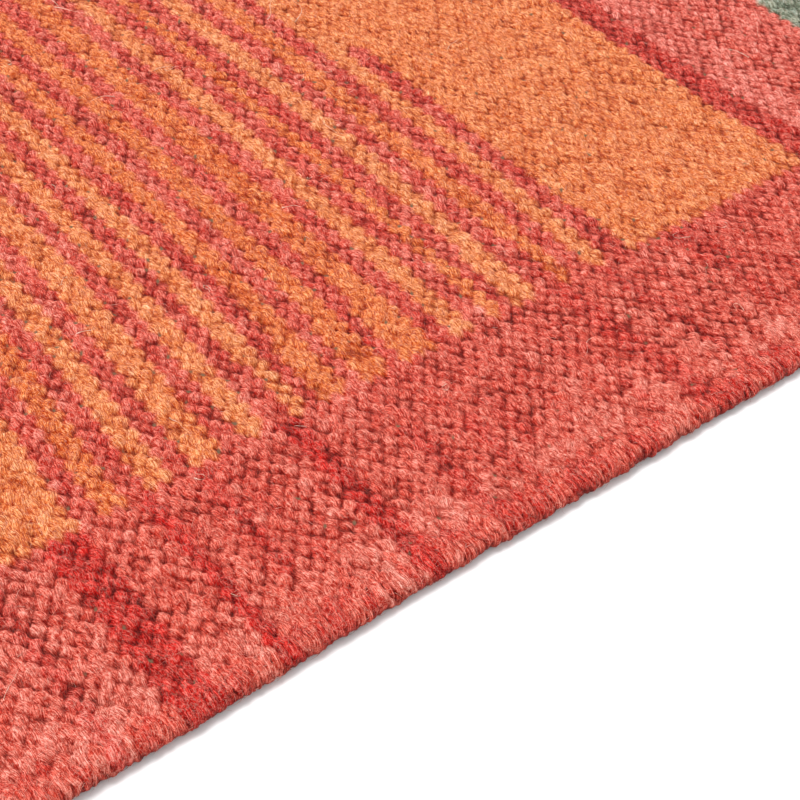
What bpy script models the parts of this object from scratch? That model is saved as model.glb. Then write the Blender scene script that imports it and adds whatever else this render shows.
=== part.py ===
"""A small kilim rug: one flat, thick piece of weft-faced wool cloth.

The cloth lies on the XY plane. The warps run along X, and the wefts run along Y from selvedge
to selvedge and turn back round a thick edge cord, so the two long sides are rounded and a little
higher than the field. The two ends are beaten tight and finished plain. The origin is at the
middle of the underside. Lengths are in metres.
"""

import math
from collections import namedtuple

import bmesh
import bpy

MM = 0.001

# Driving sizes of the cloth
RUG_LENGTH = 600.0 * MM  # along the warps, X
RUG_WIDTH = 400.0 * MM  # along the wefts, Y, selvedge to selvedge
FIELD_THICKNESS = 5.0 * MM
EDGE_ROUNDING = 2.1 * MM  # where the wefts turn round the edge
EDGE_ROUNDING_STEPS = 4

# The cloth is divided into even steps along the warps, and between the two edge cords
STEPS_ALONG = 48
STEPS_ACROSS_FIELD = 16

# The edge cord under the turning wefts lifts the cloth beside each selvedge
CordStation = namedtuple("CordStation", "from_selvedge rise")
EDGE_CORD = (
    CordStation(from_selvedge=0.0 * MM, rise=0.10 * MM),
    CordStation(from_selvedge=4.0 * MM, rise=0.35 * MM),
    CordStation(from_selvedge=8.0 * MM, rise=0.20 * MM),
    CordStation(from_selvedge=13.0 * MM, rise=0.0 * MM),
)

# Slow waves of a hand-woven outline and face: size, length of one wave, and start in turns
Wave = namedtuple("Wave", "height length start")
SELVEDGE_WAVES = (
    Wave(height=0.35 * MM, length=310.0 * MM, start=0.15),
    Wave(height=0.20 * MM, length=118.0 * MM, start=0.60),
)
END_WAVES = (
    Wave(height=0.70 * MM, length=270.0 * MM, start=0.30),
    Wave(height=0.30 * MM, length=90.0 * MM, start=0.80),
)
FACE_WAVES = (
    Wave(height=0.12 * MM, length=190.0 * MM, start=0.40),
    Wave(height=0.08 * MM, length=75.0 * MM, start=0.10),
)

WOOL_COLOUR = (0.56, 0.085, 0.060, 1.0)
WOOL_ROUGHNESS = 0.92


def clear_scene():
    """Remove whatever objects the scene starts with."""
    for thing in list(bpy.data.objects):
        bpy.data.objects.remove(thing, do_unlink=True)


def wave_sum(waves, place, shift=0.0):
    """Height of a set of waves at a place along an edge, started shift turns later."""
    return sum(
        wave.height * math.sin(math.tau * (place / wave.length + wave.start + shift))
        for wave in waves
    )


def across_stations():
    """Places across the cloth, from one selvedge to the other, each with its edge cord's rise."""
    half = RUG_WIDTH / 2
    near = [(-half + station.from_selvedge, station.rise) for station in EDGE_CORD]
    far = [(-place, rise) for place, rise in reversed(near)]
    field_start = near[-1][0]
    step = -2 * field_start / STEPS_ACROSS_FIELD
    field = [(field_start + step * count, 0.0) for count in range(1, STEPS_ACROSS_FIELD)]
    return near + field + far


def shape_face(mesh):
    """Turn a grid into the cloth's upper face, with its uneven outline and raised edges."""
    stations = across_stations()
    half_length = RUG_LENGTH / 2
    half_width = RUG_WIDTH / 2
    for vertex in mesh.verts:
        along = vertex.co.x  # -1 to 1
        station = round((vertex.co.y + 1) / 2 * (len(stations) - 1))
        place, rise = stations[station]
        x = along * half_length + along * wave_sum(END_WAVES, place, 0.25 * along)
        y = place + place / half_width * wave_sum(SELVEDGE_WAVES, x, 0.2 * place / half_width)
        ripple = wave_sum(FACE_WAVES, x + place)
        vertex.co = (x, y, FIELD_THICKNESS + rise + ripple)


def close_underside(mesh):
    """Drop a copy of the face to the ground and make its many faces one flat underside."""
    upper = list(mesh.faces)
    dropped = bmesh.ops.extrude_face_region(mesh, geom=upper, use_keep_orig=True)["geom"]
    for element in dropped:
        if isinstance(element, bmesh.types.BMVert):
            element.co.z = 0.0
    under = [face for face in mesh.faces if all(v.co.z == 0.0 for v in face.verts)]
    bmesh.ops.dissolve_faces(mesh, faces=under, use_verts=False)
    bmesh.ops.recalc_face_normals(mesh, faces=mesh.faces)


def wool_material():
    """Matt dyed wool in the coral red of the rug's border."""
    material = bpy.data.materials.new("coral_wool")
    material.use_nodes = True
    shader = material.node_tree.nodes["Principled BSDF"]
    shader.inputs["Base Color"].default_value = WOOL_COLOUR
    shader.inputs["Roughness"].default_value = WOOL_ROUGHNESS
    shader.inputs["Metallic"].default_value = 0.0
    return material


def round_edges(cloth):
    """Round the rim above and below, as the turning wefts do."""
    bevel = cloth.modifiers.new("turned_edge", "BEVEL")
    bevel.width = EDGE_ROUNDING
    bevel.segments = EDGE_ROUNDING_STEPS
    bevel.limit_method = "ANGLE"
    bevel.angle_limit = math.radians(60)


def make_cloth(collection):
    """The whole rug as one closed piece of cloth."""
    shape = bmesh.new()
    steps_across = len(across_stations()) - 1
    bmesh.ops.create_grid(shape, x_segments=STEPS_ALONG, y_segments=steps_across, size=1.0)
    shape_face(shape)
    close_underside(shape)
    mesh = bpy.data.meshes.new("kilim_cloth")
    shape.to_mesh(mesh)
    shape.free()
    mesh.materials.append(wool_material())
    cloth = bpy.data.objects.new("kilim_cloth", mesh)
    collection.objects.link(cloth)
    round_edges(cloth)
    mesh.shade_smooth()
    mesh.set_sharp_from_angle(angle=math.radians(50))
    return cloth


def main():
    """Build the rug in its own collection."""
    clear_scene()
    collection = bpy.data.collections.new("kilim_rug")
    bpy.context.scene.collection.children.link(collection)
    make_cloth(collection)


main()
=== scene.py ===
"""Kilim rug, dressed as cloth: its weft floats, turned selvedges, underside and loose fibres.

A weft-faced plain weave is a lattice. Warp i lies along X and weft pick j lies along Y, and
wherever i + j is even the weft passes over the warp and shows as one plump float. Places in the
weave are counted in warps and picks, and places on the rug are in metres.
"""

import logging
import math
from collections.abc import Callable
from dataclasses import dataclass
from enum import Enum, IntEnum

import bmesh
import bpy
import numpy as np
from mathutils import Matrix, Vector


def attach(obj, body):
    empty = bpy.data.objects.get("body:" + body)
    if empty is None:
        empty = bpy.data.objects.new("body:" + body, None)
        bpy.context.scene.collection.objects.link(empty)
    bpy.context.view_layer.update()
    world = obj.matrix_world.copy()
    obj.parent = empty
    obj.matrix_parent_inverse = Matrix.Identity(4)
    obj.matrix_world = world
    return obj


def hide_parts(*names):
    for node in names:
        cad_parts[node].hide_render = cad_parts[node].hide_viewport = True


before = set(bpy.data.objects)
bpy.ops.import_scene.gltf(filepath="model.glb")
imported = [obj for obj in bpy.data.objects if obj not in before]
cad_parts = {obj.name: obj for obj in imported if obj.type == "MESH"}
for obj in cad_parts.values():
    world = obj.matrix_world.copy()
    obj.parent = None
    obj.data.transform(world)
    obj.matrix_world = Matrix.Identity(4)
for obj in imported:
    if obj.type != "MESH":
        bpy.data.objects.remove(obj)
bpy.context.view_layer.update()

MM = 0.001
BODY = "root"
CLOTH_NODE = "kilim_cloth"
ABOVE_FLOOR = 0.02 * MM
MAP_RIM = 0.002

log = logging.getLogger("kilim")

Array = np.ndarray
Socket = bpy.types.NodeSocket
Colour = tuple[float, float, float]
Roots = tuple[Array, Array, Array, Array]

HASH_I = 374761393
HASH_J = 668265263
HASH_SERIES = 1013904223
HASH_MIX = 1274126177
HASH_WORD = 0xFFFFFFFF


class Series(IntEnum):
    """Every series of chances and of soft noise, by its seed."""

    PLUMPNESS = 11
    LEAN = 12
    LUMPS = 13
    REACH = 14
    MATTING = 15
    OFF_ACROSS = 16
    OFF_ALONG = 17
    BREADTH = 18
    MATTED_PATCHES = 19
    FELTING = 20
    WANDER_ALONG = 21
    JOG_ALONG = 22
    WANDER_ACROSS = 23
    JOG_ACROSS = 24
    STREAK = 31
    STREAK_REACH = 32
    YARN = 33
    ALONG_YARN = 34
    BOUT = 35
    LONE_FLOAT = 36
    STRIPE_FLOAT = 37
    TURNED_TONE = 38
    SLANT = 41
    FIBRE_START = 42
    PEEP = 51
    PEEP_PATCHES = 52
    PEEP_SIZE = 53
    PEEP_SKEW = 54
    NEAR_SWAY = 60
    FAR_SWAY = 62
    STRAND_LUMPS = 63
    STRAND_GRAIN = 64
    STRAND_HUMPS = 65
    STRAND_PLUMPNESS = 66
    STRAND_JOG = 67
    UNDERSIDE = 71
    FIBRE_ROOTS = 81
    FACE_FUZZ = 91
    EDGE_FUZZ = 92
    LONG_HAIRS = 93


def hashed(i: Array, j: Array | int, series: int) -> Array:
    """Even random numbers for whole-numbered places.

    Args:
        i: Whole numbers, such as warps.
        j: Whole numbers, such as picks.
        series: The series of chances.

    Returns:
        One number from 0 to 1 for each place, the same at each run.
    """
    mixed = np.asarray(i).astype(np.int64) * HASH_I + np.asarray(j).astype(np.int64) * HASH_J
    mixed = (mixed + int(series) * HASH_SERIES) & HASH_WORD
    mixed = ((mixed ^ (mixed >> 13)) * HASH_MIX) & HASH_WORD
    return (mixed ^ (mixed >> 16)) / (HASH_WORD + 1)


def balanced(i: Array, j: Array | int, series: int) -> Array:
    """The same chances, from -1 to 1."""
    return 2 * hashed(i, j, series) - 1


def eased(part: Array) -> Array:
    """A part from 0 to 1, eased at both ends."""
    part = np.clip(part, 0.0, 1.0)
    return part * part * (3.0 - 2.0 * part)


def drift(u: Array, v: Array, series: int) -> Array:
    """Soft noise that turns over once in each unit step.

    Args:
        u: First coordinate.
        v: Second coordinate.
        series: The series of chances.

    Returns:
        Values from -1 to 1.
    """
    whole_u, whole_v = np.floor(u), np.floor(v)
    part_u, part_v = eased(u - whole_u), eased(v - whole_v)
    low, high = (
        hashed(whole_u, row, series) * (1 - part_u) + hashed(whole_u + 1, row, series) * part_u
        for row in (whole_v, whole_v + 1)
    )
    return 2.0 * (low * (1 - part_v) + high * part_v) - 1.0


@dataclass(frozen=True)
class Noise:
    """Soft noise of one kind: its series, its size, and how long a turn is in each coordinate."""

    series: Series
    size: float
    u_turn: float
    v_turn: float

    def at(self, u: Array, v: Array) -> Array:
        """The noise at a place, from minus its size to its size."""
        return self.size * drift(u / self.u_turn, v / self.v_turn, self.series)


@dataclass(frozen=True)
class Onset:
    """A change that comes in softly over a stretch."""

    starts: float
    over: float

    def at(self, place: Array) -> Array:
        """0 before the stretch and 1 past it."""
        return eased((place - self.starts) / self.over)


@dataclass(frozen=True)
class Wave:
    """One slow wave of a hand-woven edge or face, as in the CAD cloth."""

    height: float
    length: float
    start: float

    def at(self, place: Array, shift: Array) -> Array:
        """Height of the wave at a place, started shift turns later."""
        return self.height * np.sin(math.tau * (place / self.length + self.start + shift))


@dataclass(frozen=True)
class Weave:
    """The lattice of warps and picks, and the form of one float on it.

    Reaches, offsets and the turns of noise are in warps and picks, and rises are shares of the
    float's height, unless a field names its unit.
    """

    warp_step: float = 2.6 * MM
    pick_step: float = 2.1 * MM
    float_height: float = 1.6 * MM
    reach: float = 0.94
    reach_varies: float = 0.12
    breadth: float = 0.79
    breadth_varies: float = 0.10
    loft_gain: float = 0.14
    plumpness_varies: float = 0.34
    lean: float = 0.25
    scatter: float = 0.29
    overlap: float = 0.18
    fluff: float = 0.25
    matted: float = 0.85
    matting: Noise = Noise(Series.MATTING, size=0.25, u_turn=1.1, v_turn=1.2)
    matted_patches: Noise = Noise(Series.MATTED_PATCHES, size=0.35, u_turn=5.0, v_turn=6.0)
    felted: float = 0.42
    felted_from: float = 0.05
    felting: Noise = Noise(Series.FELTING, size=1.0, u_turn=1.15, v_turn=1.25)
    lumps: Noise = Noise(Series.LUMPS, size=0.15, u_turn=1 / 2.1, v_turn=1 / 2.3)
    strays_along: tuple[Noise, ...] = (
        Noise(Series.WANDER_ALONG, size=0.280 * MM, u_turn=7.0, v_turn=2.5),
        Noise(Series.JOG_ALONG, size=0.196 * MM, u_turn=1.3, v_turn=1.3),
    )
    strays_across: tuple[Noise, ...] = (
        Noise(Series.WANDER_ACROSS, size=0.340 * MM, u_turn=2.5, v_turn=7.0),
        Noise(Series.JOG_ACROSS, size=0.272 * MM, u_turn=1.3, v_turn=1.3),
    )

    def float_at(self, warps: Array, picks: Array) -> tuple[Array, Array]:
        """The float whose diamond holds each place.

        Args:
            warps: Places across, in warps.
            picks: Places along, in picks.

        Returns:
            The float's warp and pick.
        """
        rising = np.floor((warps + picks) / 2 + 0.5)
        falling = np.floor((warps - picks) / 2 + 0.5)
        return rising + falling, rising - falling

    def rise(self, warps: Array, picks: Array, loft: Callable[[Array, Array], Array]) -> Array:
        """Height of the floats over the pits between them, from 0 to about 1.

        Args:
            warps: Places across, in warps.
            picks: Places along, in picks.
            loft: Gives how lofty the yarn of a float is, from 0 to 1, for its warp and pick.

        Returns:
            The height of the highest float at each place.
        """
        near_warp, near_pick = np.rint(warps), np.rint(picks)
        best = np.zeros_like(warps)
        for step_across in (-1, 0, 1):
            for step_along in (-1, 0, 1):
                i, j = near_warp + step_across, near_pick + step_along
                across = warps - i - self.scatter * (hashed(i, j, Series.OFF_ACROSS) - 0.5)
                along = picks - j - self.scatter * (hashed(i, j, Series.OFF_ALONG) - 0.5)
                wide = self.reach * (1 + self.loft_gain * loft(i, j))
                wide = wide * (1 + self.reach_varies * balanced(i, j, Series.REACH))
                narrow = wide * self.breadth * (1 + self.overlap * np.sign(across))
                narrow = narrow * (1 + self.breadth_varies * balanced(i, j, Series.BREADTH))
                out = (across / narrow) ** 2 + (along / wide) ** 2
                plump = 1 + self.plumpness_varies * balanced(i, j, Series.PLUMPNESS)
                plump = plump * (1 + self.lean * balanced(i, j, Series.LEAN) * across)
                dome = plump * np.sqrt(np.clip(1 - out, 0, 1))
                best = np.maximum(best, np.where((i + j) % 2 == 0, dome, 0.0))
        matted = self.matted + self.matting.at(warps, picks) + self.matted_patches.at(warps, picks)
        felted = np.clip(self.felting.at(warps, picks) - self.felted_from, 0, 1)
        filled = self.fluff * matted + self.felted * felted
        return np.maximum(best, filled) * (1 + self.lumps.at(warps, picks))

    def wander(self, warps: Array, picks: Array) -> tuple[Array, Array]:
        """How far hand-spun yarn strays from the even lattice, along and across, in metres."""
        along = sum(noise.at(warps, picks) for noise in self.strays_along)
        return along, sum(noise.at(warps, picks) for noise in self.strays_across)


@dataclass(frozen=True)
class WeftBow:
    """How the wefts bow and lean along the rug, counted from the near border's inner line.

    Slopes are metres along the rug for each metre across it.
    """

    border_line: float = -141.5 * MM
    half_length: float = 300 * MM
    least_slope: float = 0.0225
    most_slope: float = 0.100
    most_at: float = -118 * MM
    most_spread: float = 58 * MM
    begins: float = 8 * MM
    fades: float = 175 * MM
    field_lean: float = 0.14
    field_lean_fades: float = 60 * MM
    field_lean_ends: float = 200 * MM
    field_leans: Onset = Onset(starts=45 * MM, over=65 * MM)
    field_straightens: Onset = Onset(starts=180 * MM, over=110 * MM)
    border_lean: float = 0.115
    border_leans: Onset = Onset(starts=0.0, over=30 * MM)
    border_straightens: Onset = Onset(starts=130 * MM, over=150 * MM)

    def at(self, x: Array, y: Array) -> Array:
        """Shift along X of a weft at a place.

        Args:
            x: Places along the rug, in metres.
            y: Places across it, in metres.

        Returns:
            The shift in metres.
        """
        past = np.clip(y - self.border_line, 0.0, None)
        inside = np.clip(self.border_line - y, 0.0, None)
        slope = self.least_slope * np.clip(1 - (x / self.half_length) ** 2, 0.0, 1.0)
        slope = slope + self.most_slope * np.exp(-(((x - self.most_at) / self.most_spread) ** 2))
        bow = slope * past * np.exp(-((past / self.fades) ** 2)) * past / (past + self.begins)
        fall = self.field_lean_fades * (1 - np.exp(-past / self.field_lean_fades))
        fall = fall * np.exp(-((past / self.field_lean_ends) ** 2))
        in_field = self.field_leans.at(x) * (1 - self.field_straightens.at(x))
        in_border = self.border_leans.at(x) * (1 - self.border_straightens.at(x))
        return bow - self.field_lean * in_field * fall + self.border_lean * in_border * inside


@dataclass(frozen=True)
class RugForm:
    """The rug's slab: what turns even places in the weave into places on the hand-woven rug."""

    weave: Weave = Weave()
    bow: WeftBow = WeftBow()
    length: float = 600 * MM
    width: float = 400 * MM
    thickness: float = 5.0 * MM
    crest: float = 5.2 * MM
    cord_rise: float = 0.35 * MM
    cord_from_edge: float = 4 * MM
    cord_spread: float = 5 * MM
    straight_picks: float = 142.0
    last_pick: float = 144.0
    end_crest: float = 2.4 * MM
    bow_fades: float = 30 * MM
    selvedge_waves: tuple[Wave, ...] = (
        Wave(0.35 * MM, 310 * MM, 0.15),
        Wave(0.20 * MM, 118 * MM, 0.60),
    )
    end_shift: float = 0.25
    selvedge_shift: float = 0.2
    end_waves: tuple[Wave, ...] = (
        Wave(0.70 * MM, 270 * MM, 0.30),
        Wave(0.30 * MM, 90 * MM, 0.80),
    )
    face_waves: tuple[Wave, ...] = (
        Wave(0.12 * MM, 190 * MM, 0.40),
        Wave(0.08 * MM, 75 * MM, 0.10),
    )

    def turn(self, picks: Array) -> Array:
        """How far round the rug's end a place lies, from 0 to 1."""
        past = np.abs(picks) - self.straight_picks
        return np.clip(past / (self.last_pick - self.straight_picks), 0.0, 1.0)

    def edge_rise(self, y: Array) -> Array:
        """How far the edge cord lifts the cloth beside a selvedge."""
        inward = self.width / 2 - np.abs(y)
        return self.cord_rise * np.exp(-(((inward - self.cord_from_edge) / self.cord_spread) ** 2))

    def levelled(self, picks: Array, height: Array, level: Array | float) -> Array:
        """Heights that run out to one level round the rug's ends."""
        return height + (level - height) * self.turn(picks) ** 3

    def place(
        self, warps: Array, picks: Array, y: Array, z: Array, steadied: Array | float = 0.0
    ) -> Array:
        """Puts even places on the rug, with the strays of its yarn.

        Args:
            warps: Places across, in warps.
            picks: Places along the rug, in picks from its middle.
            y: Places across, in metres.
            z: Heights over the floor, on an even rug with square ends.
            steadied: How far the yarn is kept from straying across, from 0 to 1.

        Returns:
            One row of x, y and z for each place.
        """
        half_length, half_width = self.length / 2, self.width / 2
        stray_along, stray_across = self.weave.wander(warps, picks)
        y = y + stray_across * (1 - steadied)
        straight = np.clip(picks, -self.straight_picks, self.straight_picks)
        x = straight * self.weave.pick_step
        x = x + self.bow.at(x, y) * np.clip((half_length - np.abs(x)) / self.bow_fades, 0.0, 1.0)
        ripple = sum(wave.at(x + y, 0.0) for wave in self.face_waves)
        z = z * (1 + ripple / self.thickness)
        middle = self.thickness / 2
        angle = self.turn(picks) * math.pi / 2
        off = z - middle
        x = x + np.sign(picks) * np.abs(off) * np.sin(angle)
        z = middle + off * np.cos(angle)
        along = x / half_length
        x = x + along * sum(wave.at(y, self.end_shift * along) for wave in self.end_waves)
        side = y / half_width
        y = y + side * sum(wave.at(x, self.selvedge_shift * side) for wave in self.selvedge_waves)
        return np.stack([x + stray_along * (1 - self.turn(picks)), y, z], axis=-1)


class Dye(Enum):
    """The dyed wools of the rug."""

    CORAL = 0
    CRIMSON = 1
    ROSE = 2
    ORANGE = 3
    SAGE = 4


@dataclass(frozen=True)
class DyeLot:
    """One dyed wool: its usual colour, and where the dye took more or less."""

    main: Colour
    deep: Colour
    pale: Colour


DYE_LOTS: dict[Dye, DyeLot] = {
    Dye.CORAL: DyeLot((0.585, 0.093, 0.061), (0.490, 0.034, 0.023), (0.640, 0.175, 0.130)),
    Dye.CRIMSON: DyeLot((0.480, 0.020, 0.014), (0.400, 0.014, 0.011), (0.530, 0.060, 0.040)),
    Dye.ROSE: DyeLot((0.620, 0.128, 0.094), (0.540, 0.068, 0.048), (0.660, 0.195, 0.150)),
    Dye.ORANGE: DyeLot((0.635, 0.180, 0.053), (0.560, 0.105, 0.018), (0.670, 0.250, 0.100)),
    Dye.SAGE: DyeLot((0.235, 0.270, 0.200), (0.120, 0.185, 0.160), (0.370, 0.400, 0.300)),
}

# The pale colour that loose fibres are blended towards.
PALE_FIBRE: Colour = (0.82, 0.66, 0.54)


@dataclass(frozen=True)
class RedStripe:
    """A thin red stripe across the field, its picks at the near end, and the orange after it."""

    first_pick: int
    near_picks: int
    orange_after: float
    picks: int = 3
    far_warp: int = 55


RED_STRIPES: tuple[RedStripe, ...] = (
    RedStripe(first_pick=-61, near_picks=3, orange_after=-0.4),
    RedStripe(first_pick=-55, near_picks=3, orange_after=0.4),
    RedStripe(first_pick=-49, near_picks=3, orange_after=0.3),
    RedStripe(first_pick=-42, near_picks=3, orange_after=0.3),
    RedStripe(first_pick=-36, near_picks=4, orange_after=0.4),
    RedStripe(first_pick=-30, near_picks=2, orange_after=-0.4),
    RedStripe(first_pick=-24, near_picks=2, orange_after=-0.4),
    RedStripe(first_pick=-18, near_picks=2, orange_after=-0.4),
    RedStripe(first_pick=-11, near_picks=3, orange_after=0.4),
    RedStripe(first_pick=-5, near_picks=3, orange_after=-0.3),
    RedStripe(first_pick=0, near_picks=2, orange_after=0.4),
    RedStripe(first_pick=6, near_picks=4, orange_after=-0.3),
    RedStripe(first_pick=12, near_picks=3, orange_after=0.3),
    RedStripe(first_pick=18, near_picks=4, orange_after=0.1, far_warp=-8),
)


@dataclass(frozen=True)
class Block:
    """A plain block of the field, from its first pick to the next block's."""

    first_pick: int
    dye: Dye
    tone: float


BLOCKS: tuple[Block, ...] = (
    Block(first_pick=-200, dye=Dye.CORAL, tone=0.0),
    Block(first_pick=-114, dye=Dye.ORANGE, tone=0.15),
    Block(first_pick=56, dye=Dye.CRIMSON, tone=0.6),
    Block(first_pick=61, dye=Dye.ROSE, tone=0.3),
    Block(first_pick=69, dye=Dye.CORAL, tone=0.0),
    Block(first_pick=72, dye=Dye.ROSE, tone=0.1),
    Block(first_pick=83, dye=Dye.SAGE, tone=0.0),
    Block(first_pick=114, dye=Dye.CORAL, tone=0.0),
)


@dataclass(frozen=True)
class Streak:
    """Deeper wefts in the near border, from one warp to another, counted from the rug's middle."""

    first_pick: int
    picks: int
    depth: float
    outer_warp: int = -80
    inner_warp: int = -55


STREAKS: tuple[Streak, ...] = (
    Streak(first_pick=-66, picks=5, depth=1.0),
    Streak(first_pick=-54, picks=2, depth=0.95),
    Streak(first_pick=-47, picks=2, depth=0.6, outer_warp=-69),
    Streak(first_pick=-35, picks=3, depth=1.0, outer_warp=-62),
    Streak(first_pick=-35, picks=3, depth=0.9, inner_warp=-63),
    Streak(first_pick=-24, picks=2, depth=0.6, inner_warp=-62),
    Streak(first_pick=-17, picks=2, depth=0.5, outer_warp=-72, inner_warp=-64),
    Streak(first_pick=-13, picks=2, depth=0.45, outer_warp=-69, inner_warp=-63),
    Streak(first_pick=3, picks=1, depth=0.45, outer_warp=-74),
    Streak(first_pick=7, picks=3, depth=0.6),
    Streak(first_pick=15, picks=2, depth=0.5),
    Streak(first_pick=27, picks=5, depth=0.45, outer_warp=-62),
    Streak(first_pick=28, picks=2, depth=0.4, outer_warp=-74, inner_warp=-63),
)


@dataclass(frozen=True)
class ColourLayout:
    """Which dyed wool each float is made of.

    A tone is how far a float's colour is from its dye's main one, towards pale or, below 0, deep.
    """

    border_warp: int = 55
    border_pick: int = 114
    near_end_warp: int = -45
    stripes_end: int = 56
    stripe_tone: float = -0.10
    stripe_tone_varies: float = 0.45
    lofty_from: Onset = Onset(starts=69, over=4)
    pale_from: Onset = Onset(starts=68, over=4)
    pale_tone: float = 0.35
    turned_from_warp: int = 74
    left_tone: float = 0.25
    left_from_pick: int = -50
    left_spread: int = 25
    yarn_tone: float = 0.22
    yarn_warps: int = 40
    along_tone: float = 0.24
    along_yarn: Noise = Noise(Series.ALONG_YARN, size=1.0, u_turn=6.0, v_turn=1.0)
    bout: Noise = Noise(Series.BOUT, size=0.18, u_turn=30.0, v_turn=7.0)
    lone_tone: float = 0.28
    even_orange: float = 0.6
    turned_tone: float = -0.15
    turned_bands: Noise = Noise(Series.TURNED_TONE, size=0.60, u_turn=math.inf, v_turn=5.0)
    turned_lone_tone: float = 0.55
    chance_depth: float = 0.5
    chance_from: float = 0.86
    chance_breaks: float = 0.35
    chance_warps: int = 9
    chance_past_pick: int = 70
    streak_share: float = 1.05
    streak_along: float = 0.20
    streak_varies: float = 0.18

    def border(self, i: Array, j: Array) -> Array:
        """Whether each float lies in the border."""
        return (np.abs(i) >= self.border_warp) | (np.abs(j) > self.border_pick)

    def field_floats(self, i: Array, j: Array) -> tuple[Array, Array]:
        """Dye and tone of the field's blocks and stripes.

        Args:
            i: Warps of the floats.
            j: Picks of the floats.

        Returns:
            The number of each float's dye, and its tone.
        """
        dye = np.zeros(i.shape, int)
        tone = np.zeros(i.shape)
        for block in BLOCKS:
            here = j >= block.first_pick
            dye[here], tone[here] = block.dye.value, block.tone
        ends = [stripe.first_pick for stripe in RED_STRIPES[1:]] + [self.stripes_end]
        for stripe, end in zip(RED_STRIPES, ends):
            tone[(j >= stripe.first_pick) & (j < end)] = stripe.orange_after
        varies = self.stripe_tone_varies * balanced(i, j, Series.STRIPE_FLOAT)
        for stripe in RED_STRIPES:
            picks = np.where(i < self.near_end_warp, stripe.near_picks, stripe.picks)
            here = (j >= stripe.first_pick) & (j < stripe.first_pick + picks)
            here &= i < stripe.far_warp
            dye[here] = Dye.CORAL.value
            tone[here] = self.stripe_tone + varies[here]
        return dye, tone

    def dyes(self, i: Array, j: Array) -> tuple[Array, Array]:
        """Dye and tone of each float of the whole face, before its own chances.

        Args:
            i: Warps of the floats.
            j: Picks of the floats.

        Returns:
            The number of each float's dye, and its tone.
        """
        dye, tone = self.field_floats(i, j)
        border = self.border(i, j)
        dye[border] = Dye.CORAL.value
        tone[border] = self.left_tone * eased((self.left_from_pick - j[border]) / self.left_spread)
        return dye, tone

    def loft(self, i: Array, j: Array) -> Array:
        """How lofty each float's yarn is: fluffier in the orange and beside the edge cords."""
        orange = (self.dyes(i, j)[0] == Dye.ORANGE.value).astype(float)
        return np.maximum(orange, self.lofty_from.at(np.abs(i)))

    def streak_depth(self, i: Array, j: Array) -> Array:
        """How much deeper red a border float is.

        Args:
            i: Warps of the floats.
            j: Picks of the floats.

        Returns:
            A share from 0 to 1 for each float.
        """
        depth = np.zeros(i.shape)
        for streak in STREAKS:
            here = (j >= streak.first_pick) & (j < streak.first_pick + streak.picks)
            here &= (i >= streak.outer_warp) & (i <= streak.inner_warp)
            depth[here] = np.maximum(depth[here], streak.depth)
        pair = np.floor(j / 2)
        chosen = hashed(0 * i + 7, pair, Series.STREAK) > self.chance_from
        reach = hashed(np.floor(i / self.chance_warps), pair, Series.STREAK_REACH)
        chosen &= reach > self.chance_breaks
        chosen &= (i > 0) | (np.abs(j) > self.chance_past_pick)
        return np.where(chosen & (depth == 0), self.chance_depth, depth)

    def tones(self, i: Array, j: Array, dye: Array, tone: Array) -> Array:
        """Adds each float's own chances to its tone.

        Args:
            i: Warps of the floats.
            j: Picks of the floats.
            dye: The number of each float's dye.
            tone: Its tone before the chances.

        Returns:
            The tone of each float.
        """
        yarn = self.yarn_tone * balanced(np.floor(i / self.yarn_warps), j, Series.YARN)
        lone = balanced(i, j, Series.LONE_FLOAT)
        chances = yarn + self.along_tone * self.along_yarn.at(i, j) + self.bout.at(i, j)
        chances = chances + self.lone_tone * lone
        tone = tone + np.where(dye == Dye.ORANGE.value, self.even_orange, 1.0) * chances
        turned = np.abs(i) >= self.turned_from_warp
        tone = tone + self.pale_tone * self.pale_from.at(np.abs(i)) * ~turned
        of_turned = self.turned_tone + self.turned_bands.at(0 * i, j) + self.turned_lone_tone * lone
        return tone + turned * of_turned

    def colours(self, i: Array, j: Array) -> Array:
        """Linear colour of each float.

        Args:
            i: Warps of the floats.
            j: Picks of the floats.

        Returns:
            One row of red, green and blue for each float.
        """
        dye, tone = self.dyes(i, j)
        tone = self.tones(i, j, dye, tone)
        main, deep, pale = (
            np.array([getattr(DYE_LOTS[kind], shade) for kind in Dye])[dye]
            for shade in ("main", "deep", "pale")
        )
        up, down = (np.clip(part, 0, 1)[..., None] for part in (tone, -tone))
        colour = main + (pale - main) * up + (deep - main) * down
        depth = np.where(self.border(i, j), self.streak_depth(i, j), 0.0)
        along = self.streak_along * self.along_yarn.at(i, j)
        share = np.clip(depth * (self.streak_share + along), 0, 1)
        lone = 1 + self.streak_varies * balanced(i, j, Series.LONE_FLOAT)
        red = np.array(DYE_LOTS[Dye.CRIMSON].main) * lone[..., None]
        return colour + (red - colour) * share[..., None]


class Cue(Enum):
    """What the look of the wool follows from place to place."""

    CLUMPS = "clumps of fibres along the yarn"
    HAIRS = "single fibres along the yarn"
    LUMPS = "small lumps, whatever the yarn"
    RISE = "how far up its float a place lies"
    PALE_HAIRS = "loose hairs that catch the light"
    DARK_HAIRS = "loose hairs in shade"
    PEEP = "a warp that shows between floats"


@dataclass(frozen=True)
class Response:
    """How strongly the wool answers to one cue: two values, eased over a range of the cue."""

    cue: Cue
    low: float
    high: float
    at_low: float
    at_high: float


@dataclass(frozen=True)
class HairSet:
    """A set of thin curly lines: how closely they lie, which they are, and how thin."""

    scale: float
    turn: float
    fine: float


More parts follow.
